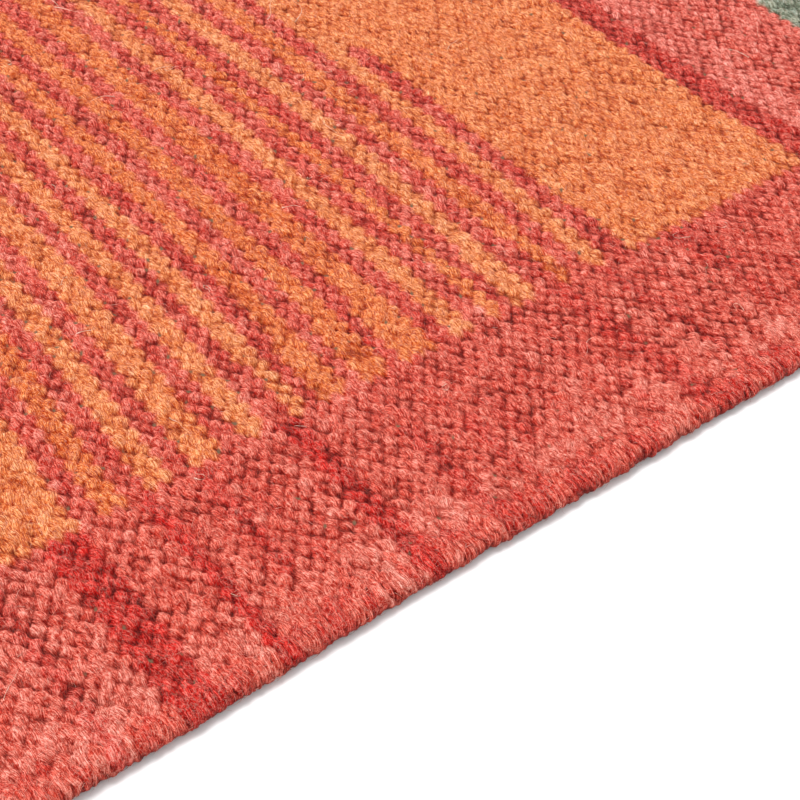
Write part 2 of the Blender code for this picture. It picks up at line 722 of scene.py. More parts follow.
class ShaderGraph:
    """Adds nodes to one material and joins them."""

    def __init__(self, material: bpy.types.Material) -> None:
        """Starts from the material's own Principled shader.

        Args:
            material: The material, still as Blender makes it.
        """
        material.use_nodes = True
        self.tree = material.node_tree
        self.shader = self.tree.nodes["Principled BSDF"]

    def add(self, kind: str, **settings: object) -> bpy.types.Node:
        """Adds one node.

        Args:
            kind: The node's type, as Blender names it.
            settings: Properties of the node.

        Returns:
            The new node.
        """
        node = self.tree.nodes.new(kind)
        for name, value in settings.items():
            setattr(node, name, value)
        return node

    def feed(self, socket: Socket, value: object) -> None:
        """Joins an output to a socket, or sets the socket to a number or colour.

        Args:
            socket: The input.
            value: An output, a number or a colour.
        """
        if isinstance(value, Socket):
            self.tree.links.new(value, socket)
        else:
            socket.default_value = value

    def maths(
        self, operation: str, first: object, second: object = 0.0, third: object = 0.0
    ) -> Socket:
        """One Math node.

        Args:
            operation: What it does, as Blender names it.
            first: An output or a number.
            second: An output or a number.
            third: An output or a number, for the operations that take three.

        Returns:
            The node's output.
        """
        node = self.add("ShaderNodeMath", operation=operation)
        for socket, value in zip(node.inputs, (first, second, third)):
            self.feed(socket, value)
        return node.outputs[0]

    def span(self, value: object, low: float, high: float, to_low: float, to_high: float) -> Socket:
        """Maps a range onto another one, eased and clamped.

        Args:
            value: The output that is mapped.
            low: Start of its range.
            high: End of its range.
            to_low: Result at the start.
            to_high: Result at the end.

        Returns:
            The node's output.
        """
        node = self.add("ShaderNodeMapRange", interpolation_type="SMOOTHSTEP")
        self.feed(node.inputs["Value"], value)
        limits = {"From Min": low, "From Max": high, "To Min": to_low, "To Max": to_high}
        for name, number in limits.items():
            node.inputs[name].default_value = number
        return node.outputs["Result"]

    def noise(self, place: object, scale: float, detail: float, roughness: float = 0.5) -> Socket:
        """One Noise Texture read at a place.

        Args:
            place: The output that gives the place.
            scale: Its scale.
            detail: How many finer layers it has.
            roughness: How strong the finer layers are.

        Returns:
            The noise, from 0 to 1.
        """
        node = self.add("ShaderNodeTexNoise", noise_dimensions="3D")
        self.feed(node.inputs["Vector"], place)
        node.inputs["Scale"].default_value = scale
        node.inputs["Detail"].default_value = detail
        node.inputs["Roughness"].default_value = roughness
        return node.outputs["Fac"]

    def blend(self, share: object, first: object, second: object) -> Socket:
        """Blends two colours.

        Args:
            share: How much of the second.
            first: An output or a colour.
            second: An output or a colour.

        Returns:
            The blended colour.
        """
        node = self.add("ShaderNodeMix", data_type="RGBA", blend_type="MIX")
        self.feed(node.inputs["Factor"], share)
        self.feed(node.inputs["A"], first)
        self.feed(node.inputs["B"], second)
        return node.outputs["Result"]

    def attribute(self, name: str, output: str) -> Socket:
        """An output of one of the piece's own attributes."""
        return self.add("ShaderNodeAttribute", attribute_name=name).outputs[output]

    def answers(self, cues: dict[Cue, Socket], responses: tuple[Response, ...]) -> Socket:
        """The product of the wool's responses to its cues.

        Args:
            cues: The output of each cue.
            responses: How the wool answers.

        Returns:
            The product.
        """
        product: object = 1.0
        for answer in responses:
            part = self.span(cues[answer.cue], answer.low, answer.high, answer.at_low, answer.at_high)
            product = self.maths("MULTIPLY", part, product)
        return product


@dataclass(frozen=True)
class WoolFinish:
    """Hand-spun dyed wool: fibres along the yarn, colour deepened in the pits as painted shade, a soft
    bloom.

    Clump sizes are in millimetres. The dye taken is the power that a float's colour is raised to:
    clumps, hairs and lumps vary the dye itself, and low rise deepens it in pits and creases as painted
    shade.
    """

    name: str = "dyed_wool"
    clump_width: float = 0.27
    clump_length: float = 1.7
    clump_detail: float = 2.0
    clump_roughness: float = 0.6
    hair_width: float = 0.108
    hair_length: float = 1.36
    slant: float = -0.40
    slant_spread: float = 0.90
    yarns_apart: float = 97.0
    lump_scale: float = 900.0
    loose_curl: float = 0.6
    loose_drawn: tuple[float, float, float] = (1.0, 0.5, 1.0)
    pale_hairs: tuple[HairSet, ...] = (HairSet(800.0, 1.3, 0.032), HairSet(1300.0, 4.1, 0.042))
    dark_hairs: tuple[HairSet, ...] = (HairSet(900.0, 7.7, 0.036), HairSet(1500.0, 9.2, 0.047))
    # Powers on the dye: fibre clumps, single fibres and lumps vary the dye the wool took; low rise
    # deepens it in pits and creases as painted shade; pale and dark loose hairs are painted highlight
    # and painted shade.
    dye_and_pit_shade: tuple[Response, ...] = (
        Response(Cue.CLUMPS, 0.35, 0.65, at_low=1.43, at_high=0.75),
        Response(Cue.HAIRS, 0.34, 0.66, at_low=1.23, at_high=0.83),
        Response(Cue.LUMPS, 0.30, 0.70, at_low=1.12, at_high=0.90),
        Response(Cue.RISE, 0.14, 0.86, at_low=1.66, at_high=1.00),
        Response(Cue.PALE_HAIRS, 0.0, 1.0, at_low=1.00, at_high=0.86),
        Response(Cue.DARK_HAIRS, 0.0, 1.0, at_low=1.00, at_high=1.30),
    )
    # Painted shade and highlight multiplied into the colour: darker in pits and creases where the rise
    # is low; darker and lighter across fibre clumps and single fibres, partly their own tone and partly
    # painted shade and highlight; darker on loose hairs in shade.
    shade: tuple[Response, ...] = (
        Response(Cue.RISE, 0.12, 0.76, at_low=0.38, at_high=1.00),
        Response(Cue.CLUMPS, 0.35, 0.65, at_low=0.78, at_high=1.15),
        Response(Cue.HAIRS, 0.36, 0.64, at_low=0.91, at_high=1.10),
        Response(Cue.DARK_HAIRS, 0.0, 1.0, at_low=1.00, at_high=0.78),
    )
    # Pale loose hairs, partly pale fibres and partly painted highlight, kept out of pits and creases as
    # painted shade.
    pale_hair_highlight_share: tuple[Response, ...] = (Response(Cue.RISE, 0.3, 0.9, at_low=0.03, at_high=0.18),)
    pale_hair_highlight_colour: Colour = (0.92, 0.58, 0.46)
    warp_share: tuple[Response, ...] = (Response(Cue.PEEP, 0.25, 0.85, at_low=0.0, at_high=1.0),)
    warp_colour: Colour = (0.150, 0.096, 0.055)
    roughness: tuple[Response, ...] = (Response(Cue.HAIRS, 0.3, 0.7, at_low=0.84, at_high=0.98),)
    sheen: float = 0.07
    sheen_roughness: float = 0.5
    sheen_tint: Colour = (1.0, 0.72, 0.60)
    specular: float = 0.12
    relief: float = 0.12 * MM
    hair_relief: float = 0.35
    pale_relief: float = 0.40

    def fibre_place(self, graph: ShaderGraph, width: float, length: float) -> Socket:
        """Place along and across the fibres of each float's own yarn.

        Args:
            graph: The material's nodes.
            width: A fibre clump's width in millimetres.
            length: Its length in millimetres.

        Returns:
            A vector output in clump widths and lengths, moved for each float.
        """
        sides = graph.add("ShaderNodeSeparateXYZ")
        uv = graph.add("ShaderNodeUVMap", uv_map="weave")
        graph.feed(sides.inputs[0], uv.outputs["UV"])
        own = graph.add("ShaderNodeSeparateXYZ")
        graph.feed(own.inputs[0], graph.attribute("yarn", "Vector"))
        across, along = sides.outputs[0], sides.outputs[1]
        slant = graph.maths("MULTIPLY_ADD", own.outputs[0], self.slant_spread, self.slant)
        leaned = graph.maths("ADD", along, graph.maths("MULTIPLY", across, slant))
        joined = graph.add("ShaderNodeCombineXYZ")
        graph.feed(joined.inputs[0], graph.maths("DIVIDE", across, length))
        graph.feed(joined.inputs[1], graph.maths("DIVIDE", leaned, width))
        graph.feed(joined.inputs[2], graph.maths("MULTIPLY", own.outputs[1], self.yarns_apart))
        return joined.outputs[0]

    def loose_hairs(self, graph: ShaderGraph, sets: tuple[HairSet, ...]) -> Socket:
        """Thin curly lines that cross from float to float.

        Args:
            graph: The material's nodes.
            sets: The sets of hairs, which lie over each other.

        Returns:
            1 on a hair and 0 beside it.
        """
        drawn = graph.add("ShaderNodeVectorMath", operation="MULTIPLY")
        graph.feed(drawn.inputs[0], graph.add("ShaderNodeTexCoord").outputs["Object"])
        graph.feed(drawn.inputs[1], self.loose_drawn)
        lines: object = 0.0
        for hairs in sets:
            node = graph.add("ShaderNodeTexNoise", noise_dimensions="4D")
            graph.feed(node.inputs["Vector"], drawn.outputs[0])
            form = {"W": hairs.turn, "Scale": hairs.scale, "Detail": 1.0, "Distortion": self.loose_curl}
            for name, number in form.items():
                node.inputs[name].default_value = number
            off = graph.maths("ABSOLUTE", graph.maths("SUBTRACT", node.outputs["Fac"], 0.5))
            lines = graph.maths("MAXIMUM", graph.span(off, 0.0, hairs.fine, 1.0, 0.0), lines)
        return lines

    def cues(self, graph: ShaderGraph) -> dict[Cue, Socket]:
        """The output of each cue that the wool's look follows.

        Args:
            graph: The material's nodes.

        Returns:
            One output for each cue.
        """
        clumps = self.fibre_place(graph, self.clump_width, self.clump_length)
        hairs = self.fibre_place(graph, self.hair_width, self.hair_length)
        spot = graph.add("ShaderNodeTexCoord").outputs["Object"]
        return {
            Cue.CLUMPS: graph.noise(clumps, 1.0, self.clump_detail, self.clump_roughness),
            Cue.HAIRS: graph.noise(hairs, 1.0, 1.0),
            Cue.LUMPS: graph.noise(spot, self.lump_scale, 1.0),
            Cue.RISE: graph.attribute("rise", "Fac"),
            Cue.PALE_HAIRS: self.loose_hairs(graph, self.pale_hairs),
            Cue.DARK_HAIRS: self.loose_hairs(graph, self.dark_hairs),
            Cue.PEEP: graph.attribute("peep", "Fac"),
        }

    def colour(self, graph: ShaderGraph, cues: dict[Cue, Socket]) -> Socket:
        """The wool's colour: its dye as it was taken, scaled by painted shade and highlight, then pale
        hairs as painted highlight and warps over it.

        Args:
            graph: The material's nodes.
            cues: The output of each cue.

        Returns:
            The colour.
        """
        # The dye raised to its power, deeper in the pits and creases as painted shade.
        dyed = graph.add("ShaderNodeGamma")
        graph.feed(dyed.inputs["Color"], graph.attribute("dye", "Color"))
        graph.feed(dyed.inputs["Gamma"], graph.answers(cues, self.dye_and_pit_shade))
        # Scaled by the painted shade and highlight.
        shaded = graph.add("ShaderNodeVectorMath", operation="SCALE")
        graph.feed(shaded.inputs[0], dyed.outputs["Color"])
        graph.feed(shaded.inputs["Scale"], graph.answers(cues, self.shade))
        # Pale loose hairs as painted highlight, fewer where the rise is low.
        pale = graph.maths("MULTIPLY", cues[Cue.PALE_HAIRS], graph.answers(cues, self.pale_hair_highlight_share))
        lit = graph.blend(pale, shaded.outputs[0], (*self.pale_hair_highlight_colour, 1.0))
        return graph.blend(graph.answers(cues, self.warp_share), lit, (*self.warp_colour, 1.0))

    def normal(self, graph: ShaderGraph, cues: dict[Cue, Socket]) -> Socket:
        """The fine relief of the fibres.

        Args:
            graph: The material's nodes.
            cues: The output of each cue.

        Returns:
            The bumped normal.
        """
        heights = graph.maths("MULTIPLY_ADD", cues[Cue.HAIRS], self.hair_relief, cues[Cue.CLUMPS])
        heights = graph.maths("MULTIPLY_ADD", cues[Cue.PALE_HAIRS], self.pale_relief, heights)
        bump = graph.add("ShaderNodeBump")
        bump.inputs["Strength"].default_value = 1.0
        bump.inputs["Distance"].default_value = self.relief
        graph.feed(bump.inputs["Height"], heights)
        return bump.outputs["Normal"]

    def material(self) -> bpy.types.Material:
        """Builds the material.

        Returns:
            The material, which reads each piece's own attributes.
        """
        made = bpy.data.materials.new(self.name)
        graph = ShaderGraph(made)
        cues = self.cues(graph)
        shader = graph.shader
        graph.feed(shader.inputs["Base Color"], self.colour(graph, cues))
        graph.feed(shader.inputs["Roughness"], graph.answers(cues, self.roughness))
        graph.feed(shader.inputs["Normal"], self.normal(graph, cues))
        shader.inputs["Sheen Weight"].default_value = self.sheen
        shader.inputs["Sheen Roughness"].default_value = self.sheen_roughness
        shader.inputs["Sheen Tint"].default_value = (*self.sheen_tint, 1.0)
        shader.inputs["Specular IOR Level"].default_value = self.specular
        return made


def gathered(items: bpy.types.bpy_prop_collection, name: str, kind: type, each: int = 1) -> Array:
    """Reads one property of all of a mesh's vertices, corners or faces.

    Args:
        items: The vertices, corners or faces.
        name: The property, as Blender names it.
        kind: The type of its numbers.
        each: How many numbers it has for each item.

    Returns:
        All of the numbers in one row.
    """
    found = np.empty(len(items) * each, kind)
    items.foreach_get(name, found)
    return found


class Cloth:
    """What every piece of the woven rug shares: its mesh's numbers, maps and place in the frame.

    The fibres of a float fan out over fan_reach millimetres each way, and draw together by as much
    as fan_most of their spacing, squared.
    """

    fan_reach: float = 2.75
    fan_most: float = 0.82

    def __init__(self, name: str, mesh: bpy.types.Mesh) -> None:
        """Makes the piece of a finished mesh that still lies in weave places.

        Args:
            name: The piece's name.
            mesh: Its mesh.
        """
        self.mesh = mesh
        self.mesh.name = name
        self.mesh.shade_smooth()
        self.piece = bpy.data.objects.new(name, self.mesh)
        bpy.context.scene.collection.objects.link(self.piece)

    def points(self) -> Array:
        """Places of the vertices, one row each."""
        found = gathered(self.mesh.vertices, "co", np.float32, each=3)
        return found.reshape(-1, 3).astype(float)

    def corners(self) -> Array:
        """The vertex at each face corner."""
        return gathered(self.mesh.loops, "vertex_index", np.int32)

    def owners(self) -> Array:
        """The face of each face corner."""
        sides = gathered(self.mesh.polygons, "loop_total", np.int32)
        return np.repeat(np.arange(len(sides)), sides)

    def middles(self, values: Array) -> Array:
        """Mean of a row of values over each face's corners.

        Args:
            values: One row for each vertex.

        Returns:
            One row for each face.
        """
        owners = self.owners()
        counts = np.bincount(owners)
        sums = [np.bincount(owners, row) for row in values[self.corners()].T]
        return np.stack(sums, axis=-1) / counts[:, None]

    def spread(self, rows: Array) -> Array:
        """Mean of the rows of the faces that meet at each vertex.

        Args:
            rows: One row for each face.

        Returns:
            One row for each vertex.
        """
        corners, owners, count = self.corners(), self.owners(), len(self.mesh.vertices)
        sums = [np.bincount(corners, row[owners], minlength=count) for row in rows.T]
        shares = np.maximum(np.bincount(corners, minlength=count), 1)
        return np.stack(sums, axis=-1) / shares[:, None]

    def paint(self, name: str, kind: str, domain: str, values: Array) -> None:
        """Stores values as one of the mesh's attributes.

        Args:
            name: The attribute's name.
            kind: Its data type, as Blender names it.
            domain: What carries it: POINT or FACE.
            values: One value or row for each.
        """
        layer = self.mesh.attributes.new(name, kind, domain)
        slot = {"FLOAT_COLOR": "color", "FLOAT_VECTOR": "vector"}.get(kind, "value")
        layer.data.foreach_set(slot, np.ascontiguousarray(values, np.float32).ravel())

    def map(self, name: str, places: Array) -> None:
        """Stores a UV map from one pair of numbers for each face corner."""
        layer = self.mesh.uv_layers.new(name=name)
        layer.uv.foreach_set("vector", places.astype(np.float32).ravel())

    def map_weave(
        self,
        fibres: tuple[Array, Array],
        crests: tuple[Array, Array],
        even: tuple[Array, Array],
        steps: tuple[float, float],
        fan: bool,
    ) -> None:
        """Maps each float's fibres in millimetres from its own crest, and the whole piece for baking.

        Args:
            fibres: Way along and across the fibres at each vertex.
            crests: The same for the crest of each face's float.
            even: Even place across and along the rug at each vertex.
            steps: Metres in one step of the first number of each pair, and of the second.
            fan: Whether the fibres draw together at both ends of a float.
        """
        way, crest, place = (np.stack(pair, -1) * np.array(steps) for pair in (fibres, crests, even))
        off = (way[self.corners()] - crest[self.owners()]) / MM
        if fan:
            drawn = np.clip((off[:, 0] / self.fan_reach) ** 2, 0.0, self.fan_most)
            off[:, 1] = off[:, 1] / np.sqrt(1 - drawn)
        self.map("weave", off)
        self.map("OFBake", filling(place[:, ::-1])[self.corners()])

    def dress(
        self,
        i: Array,
        j: Array,
        layout: ColourLayout,
        finish: bpy.types.Material,
        paled: float | Array = 0.0,
    ) -> None:
        """Gives each face its float's dye and yarn, and the piece its wool.

        Args:
            i: The warp of each face's float.
            j: The pick of each face's float.
            layout: Where each dye lies.
            finish: The wool.
            paled: How far each face is blended towards the pale fibre colour, from 0 to 1.
        """
        colours = layout.colours(i, j)
        colours = colours + (np.array(PALE_FIBRE) - colours) * np.reshape(paled, (-1, 1))
        dyes = np.ones((len(self.mesh.vertices), 4))
        dyes[:, :3] = self.spread(colours)
        self.paint("dye", "FLOAT_COLOR", "POINT", dyes)
        yarn = np.stack([hashed(i, j, Series.SLANT), hashed(i, j, Series.FIBRE_START), 0 * i], axis=-1)
        self.paint("yarn", "FLOAT_VECTOR", "FACE", yarn)
        self.mesh.materials.append(finish)

    def complete(
        self, places: Array, rise: Array | float, peep: Array | float = 0.0
    ) -> bpy.types.Object:
        """Lays the piece on the rug's one body and hides its CAD cloth.

        Args:
            places: Where each vertex goes.
            rise: How far up its yarn each vertex lies, from 0 in a pit to 1, which the wool darkens as
                painted shade where it is low.
            peep: How far a warp shows at each vertex, from 0 to 1.

        Returns:
            The finished piece.
        """
        blank = np.zeros(len(self.mesh.vertices))
        # The rise attribute drives the wool's painted shade in pits and creases.
        self.paint("rise", "FLOAT", "POINT", blank + rise)
        self.paint("peep", "FLOAT", "POINT", blank + peep)
        self.mesh.vertices.foreach_set("co", places.astype(np.float32).ravel())
        self.mesh.update()
        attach(self.piece, BODY)
        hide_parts(CLOTH_NODE)
        return self.piece


def grid(
    half: tuple[float, float], cells: tuple[int, int], middle: tuple[float, float] = (0.0, 0.0)
) -> bmesh.types.BMesh:
    """A flat grid.

    Args:
        half: Half its length along X and along Y.
        cells: How many cells it has along X and along Y.
        middle: Where its middle lies.

    Returns:
        The shape.
    """
    shape = bmesh.new()
    bmesh.ops.create_grid(
        shape,
        x_segments=cells[0],
        y_segments=cells[1],
        size=1.0,
        matrix=Matrix.Translation((*middle, 0.0)) @ Matrix.Diagonal((*half, 1.0, 1.0)),
    )
    return shape


def finished(shape: bmesh.types.BMesh, name: str = "cloth") -> bpy.types.Mesh:
    """Turns a finished shape into a mesh, and frees it.

    Args:
        shape: The shape.
        name: The mesh's name.

    Returns:
        The mesh.
    """
    mesh = bpy.data.meshes.new(name)
    shape.to_mesh(mesh)
    shape.free()
    return mesh


def filling(places: Array) -> Array:
    """Places scaled to fill a square map, but for a thin rim."""
    low, high = places.min(axis=0), places.max(axis=0)
    return MAP_RIM + (1 - 2 * MAP_RIM) * (places - low) / (high - low)


@dataclass(frozen=True)
class FaceRelief:
    """The face's surface: each float's dome, and where it lies on the rug."""

    form: RugForm
    layout: ColourLayout

    def rise(self, warps: Array, picks: Array) -> Array:
        """How far up a float each place lies, from 0 in a pit to about 1."""
        return self.form.weave.rise(warps, picks, self.layout.loft)

    def places(self, warps: Array, picks: Array, rise: Array) -> Array:
        """Puts places of the weave on the rug's face.

        Args:
            warps: Places across, in warps.
            picks: Places along, in picks.
            rise: How far up a float each lies.

        Returns:
            One row of x, y and z for each.
        """
        weave, form = self.form.weave, self.form
        even_y = warps * weave.warp_step
        body = form.crest + form.edge_rise(even_y) - weave.float_height
        top = body + rise * weave.float_height
        height = form.levelled(picks, top, form.thickness / 2 + form.end_crest)
        return form.place(warps, picks, even_y, height)


@dataclass
class FloatPanels:
    """The rug's face between the edge cords, made in panels that part along the creases.

    A cell is in warps and picks, as is how far a warp that peeps through shows round its pit.
    """

    relief: FaceRelief
    finish: bpy.types.Material
    panels: int = 4
    last_warp: int = 73
    half_picks: int = 144
    cell: float = 0.5
    peep_chance: float = 0.045
    peep_patches: Noise = Noise(Series.PEEP_PATCHES, size=1.0, u_turn=7.0, v_turn=9.0)
    peep_gain: float = 0.22
    peep_least: float = 0.35
    peep_varies: float = 0.75
    peep_warps: float = 0.70
    peep_picks: float = 0.36

    def lattice(self, first: int, last: int) -> bmesh.types.BMesh:
        """A grid in weave places, poked so that its edges follow the creases between floats.

        Args:
            first: The first pick whose floats the panel has.
            last: The pick after its last one.

        Returns:
            The flat shape, with picks along X and warps along Y.
        """
        start, stop = max(-self.half_picks, first - 1), min(self.half_picks, last)
        middle, half = (start + stop) / 2, (stop - start) / 2
        half_warps = self.last_warp + 1
        cells = (round(2 * half / self.cell), round(2 * half_warps / self.cell))
        shape = grid((half, half_warps), cells, (middle, 0.0))
        bmesh.ops.poke(shape, faces=shape.faces)
        others = []
        for face in shape.faces:
            centre = face.calc_center_median()
            if first + 1 < centre.x < last - 1 and abs(centre.y) < self.last_warp:
                continue
            warp, pick = self.relief.form.weave.float_at(centre.y, centre.x)
            if abs(warp) > self.last_warp or not first <= pick < last:
                others.append(face)
        bmesh.ops.delete(shape, geom=others, context="FACES")
        return shape

    def peeps(self, warps: Array, picks: Array) -> Array:
        """Where a warp shows in the pit between floats, most often where two dyes meet.

        Args:
            warps: Places across, in warps.
            picks: Places along, in picks.

        Returns:
            How far a warp shows at each place, from 0 to about 1.
        """
        i, j = np.rint(warps), np.rint(picks)
        pit = (i + j) % 2 == 1
        before, after = (self.relief.layout.dyes(i, j + step)[0] for step in (-1, 1))
        chance = self.peep_chance * (1 + self.peep_patches.at(i, j))
        chance = chance + self.peep_gain * (before != after)
        size = self.peep_least + self.peep_varies * hashed(i, j, Series.PEEP_SIZE)
        skew = (hashed(i, j, Series.PEEP_SKEW) - 0.5) * (warps - i)
        off = np.hypot((warps - i) / self.peep_warps, (picks - j - skew) / self.peep_picks)
        shows = pit & (hashed(i, j, Series.PEEP) < chance)
        return np.where(shows, np.clip(1 - off, 0, 1) * size, 0.0)

    def panel(self, number: int) -> bpy.types.Object:
        """Builds and dresses one panel.

        Args:
            number: Which panel, counted from 0 along X.

        Returns:
            The finished piece.
        """
        weave = self.relief.form.weave
        step = 2 * self.half_picks // self.panels
        first = -self.half_picks + number * step
        last = first + step + (1 if number == self.panels - 1 else 0)
        cloth = Cloth(f"kilim_face_{number + 1}", finished(self.lattice(first, last)))
        lattice = np.rint(cloth.points() * 2 / self.cell) * self.cell / 2
        picks, warps = lattice[:, 0], lattice[:, 1]
        rise = self.relief.rise(warps, picks)
        middle = cloth.middles(lattice)
        i, j = weave.float_at(middle[:, 1], middle[:, 0])
        steps = (weave.warp_step, weave.pick_step)
        cloth.map_weave((warps, picks), (i, j), (warps, picks), steps, fan=True)
        cloth.dress(i, j, self.relief.layout, self.finish)
        return cloth.complete(self.relief.places(warps, picks, rise), rise, self.peeps(warps, picks))

    def build(self) -> list[bpy.types.Object]:
        """Builds every panel."""
        return [self.panel(number) for number in range(self.panels)]


class Side(Enum):
    """The rug's two selvedges, by the sign of Y."""

    NEAR = -1
    FAR = 1


@dataclass
class TurnedSelvedge:
    """One selvedge: the last floats beside the edge cord, and the wefts that turn round it.

    A way is in metres round the profile, from the turned wefts' tips. A turned weft rises from its
    pit by its dome, both shares of the strand's height, and its narrowness is in widths of a pick.
    """

    relief: FaceRelief
    finish: bpy.types.Material
    side: Side
    first_warp: float = 72.5
    turned_warp: int = 74
    last_float: float = 75.25
    float_step: float = 0.25
    sunk: float = 0.12 * MM
    radius: float = 2.62 * MM
    strand_height: float = 1.30 * MM
    flattens: Onset = Onset(starts=7 * MM, over=5 * MM)
    flattened: float = 0.35
    pit: float = 0.30
    dome: float = 0.64
    narrowness: float = 2.05
    plumpness_varies: float = 0.36
    lumps: Noise = Noise(Series.STRAND_LUMPS, size=0.20, u_turn=0.8, v_turn=2.0 * MM)
    grain: Noise = Noise(Series.STRAND_GRAIN, size=0.20 * MM, u_turn=0.42, v_turn=3.2 * MM)
    humps: Noise = Noise(Series.STRAND_HUMPS, size=0.26 * MM, u_turn=1.4, v_turn=4.0 * MM)
    turns: Onset = Onset(starts=2.34 * MM, over=3.9 * MM)
    leans: Onset = Onset(starts=5 * MM, over=11 * MM)
    sways: Onset = Onset(starts=2.5 * MM, over=3.5 * MM)
    sway: float = 0.60
    sway_picks: float = 2.6
    sway_way: float = 4.5 * MM
    jog: Noise = Noise(Series.STRAND_JOG, size=0.30, u_turn=1.1, v_turn=3.5 * MM)
    steadies: Onset = Onset(starts=3 * MM, over=5 * MM)
    # Painted shade: the rise is lowered down the selvedge's side towards the floor.
    side_shade_onset: Onset = Onset(starts=8.5 * MM, over=6 * MM)
    side_shade_depth: float = 0.60
    fibres_draw_from: float = 5.5 * MM
    fibres_drawn: float = 0.55
    seat: float = 0.03 * MM
    flat_steps: int = 1
    round_steps: int = 10
    under_steps: int = 2
    under_reach: float = 2.6 * MM
    picks_step: float = 0.2

    def profile(self) -> Array:
        """The crest line of the near side, from under the face round to the underside.

        Returns:
            One row of the way from the turned wefts' tips, y, z, and the outward normal's y and z.
        """
        form = self.relief.form
        step = form.weave.warp_step
        centre = self.radius - form.width / 2
        flat = np.concatenate([
            -step * np.arange(self.first_warp, self.last_float, self.float_step),
            np.linspace(-step * self.last_float, centre, self.flat_steps, endpoint=False),
        ])
        rows = [(y, form.crest + float(form.edge_rise(y)), 0.0, 1.0) for y in flat]
        lift = (form.crest + float(form.edge_rise(centre)) - self.seat) / 2
        for angle in np.linspace(0, math.pi, self.round_steps + 1):
            outward, up = -math.sin(angle), math.cos(angle)
            rows.append((centre + self.radius * outward, self.seat + lift * (1 + up), outward, up))
        for y in np.linspace(centre, centre + self.under_reach, self.under_steps + 1)[1:]:
            rows.append((y, self.seat, 0.0, -1.0))
        line = np.array(rows)
        way = np.concatenate([[0.0], np.cumsum(np.hypot(*np.diff(line[:, :2], axis=0).T))])
        return np.column_stack([way - (self.turned_warp - 1 - self.first_warp) * step, line])

    def shape(self, stations: int) -> bmesh.types.BMesh:
        """A flat grid with picks along X and the profile's stations along Y.

        Args:
            stations: How many stations the profile has.

        Returns:
            The shape.
        """
        half, half_way = self.relief.form.last_pick, (stations - 1) / 2
        cells = (round(2 * half / self.picks_step), stations - 1)
        return grid((half, half_way), cells, (0.0, half_way))

    def strand(self, picks: Array, way: Array) -> tuple[Array, Array]:
        """The turned weft that holds each place, and how far the place lies from its middle.

        Args:
            picks: Places along the rug.
            way: Places round the profile, in metres from the turned wefts' tips.

        Returns:
            The weft's pick, and the distance from its middle in picks.
        """
        series = Series.NEAR_SWAY if self.side is Side.NEAR else Series.FAR_SWAY
        sway = Noise(series, self.sway, self.sway_picks, self.sway_way).at(picks, way)
        sway = sway + self.jog.at(picks, way)
        shifted = picks - self.leans.at(way) - sway * self.sways.at(way)
        middle = np.rint(shifted)
        return middle, shifted - middle

    def owner(self, picks: Array, way: Array) -> tuple[Array, Array]:
        """The float or turned weft that each place belongs to.

        Args:
            picks: Places along the rug.
            way: Places round the profile, in metres from the turned wefts' tips.

        Returns:
            Its warp, which is past the edge cord for a turned weft, and its pick.
        """
        warps = self.turned_warp - 1 + way / self.relief.form.weave.warp_step
        i, j = self.relief.form.weave.float_at(self.side.value * warps, picks)
        turned = warps > self.last_float
        i = np.where(turned, self.side.value * (self.turned_warp + 2), i)
        return i, np.where(turned, self.strand(picks, way)[0], j)

    def surface(self, picks: Array, way: Array) -> tuple[Array, Array, Array]:
        """Puts places of the turned wefts on the rug.

        Args:
            picks: Places along the rug.
            way: Places round the profile, in metres from the turned wefts' tips.

        Returns:
            The places, how far up its weft each lies, lowered down the side towards the floor as
            painted shade, and the outward normals.
        """
        form, weave, side = self.relief.form, self.relief.form.weave, self.side.value
        line = self.profile()
        y, z, normal_y, normal_z = (np.interp(way, line[:, 0], row) for row in line.T[1:])
        warps = -side * y / weave.warp_step
        pick, off = self.strand(picks, way)
        loose = self.pit + self.dome * np.sqrt(np.clip(1 - (self.narrowness * off) ** 2, 0, 1))
        chance = hashed(pick, 0 * pick + side, Series.STRAND_PLUMPNESS) - 0.5
        loose = (loose + self.plumpness_varies * chance) * (1 + self.lumps.at(picks, way))
        turned = self.turns.at(way)
        floats = self.relief.rise(warps, picks)
        rise = floats + (loose - floats) * turned
        height = self.strand_height * (1 - self.flattened * self.flattens.at(way))
        raised = (rise - 1) * (weave.float_height + (height - weave.float_height) * turned)
        raised = raised + turned * (self.grain.at(picks, way) + self.humps.at(picks, way))
        inner = np.abs(self.owner(picks, way)[0]) < self.turned_warp
        raised = raised - self.sunk * inner
        level = form.thickness / 2 + form.end_crest - form.crest - form.edge_rise(y)
        raised = form.levelled(picks, raised, level)
        y, z = -side * (y + normal_y * raised), np.maximum(z + normal_z * raised, ABOVE_FLOOR)
        places = form.place(warps, picks, y, z, self.steadies.at(way))
        normals = np.stack([0 * normal_y, -side * normal_y, normal_z], axis=-1)
        # Painted shade: the rise that the wool shades by falls down the side towards the floor.
        lit = np.clip(rise, 0, 1) * (1 - self.side_shade_depth * self.side_shade_onset.at(way))
        return places, lit, normals

    def build(self) -> bpy.types.Object:
        """Builds and dresses the selvedge.

        Returns:
            The finished piece.
        """
        way_of = self.profile()[:, 0]
        cloth = Cloth(f"kilim_selvedge_{self.side.name.lower()}", finished(self.shape(len(way_of))))
        flat = cloth.points()
        station = np.rint(flat[:, 1]).astype(int)
        if self.side is Side.NEAR:
            station = len(way_of) - 1 - station
        picks, way = np.rint(flat[:, 0] / self.picks_step) * self.picks_step, way_of[station]
        places, rise, _ = self.surface(picks, way)
        middle = cloth.middles(np.stack([picks, way], -1))
        i, j = self.owner(middle[:, 0], middle[:, 1])
        drawn = way - self.fibres_drawn * np.clip(way - self.fibres_draw_from, 0.0, None)
        steps = (1.0, self.relief.form.weave.pick_step)
        cloth.map_weave((drawn, picks), (0 * j, j), (way, picks), steps, fan=False)
        cloth.dress(i, j, self.relief.layout, self.finish)
        return cloth.complete(places, rise)


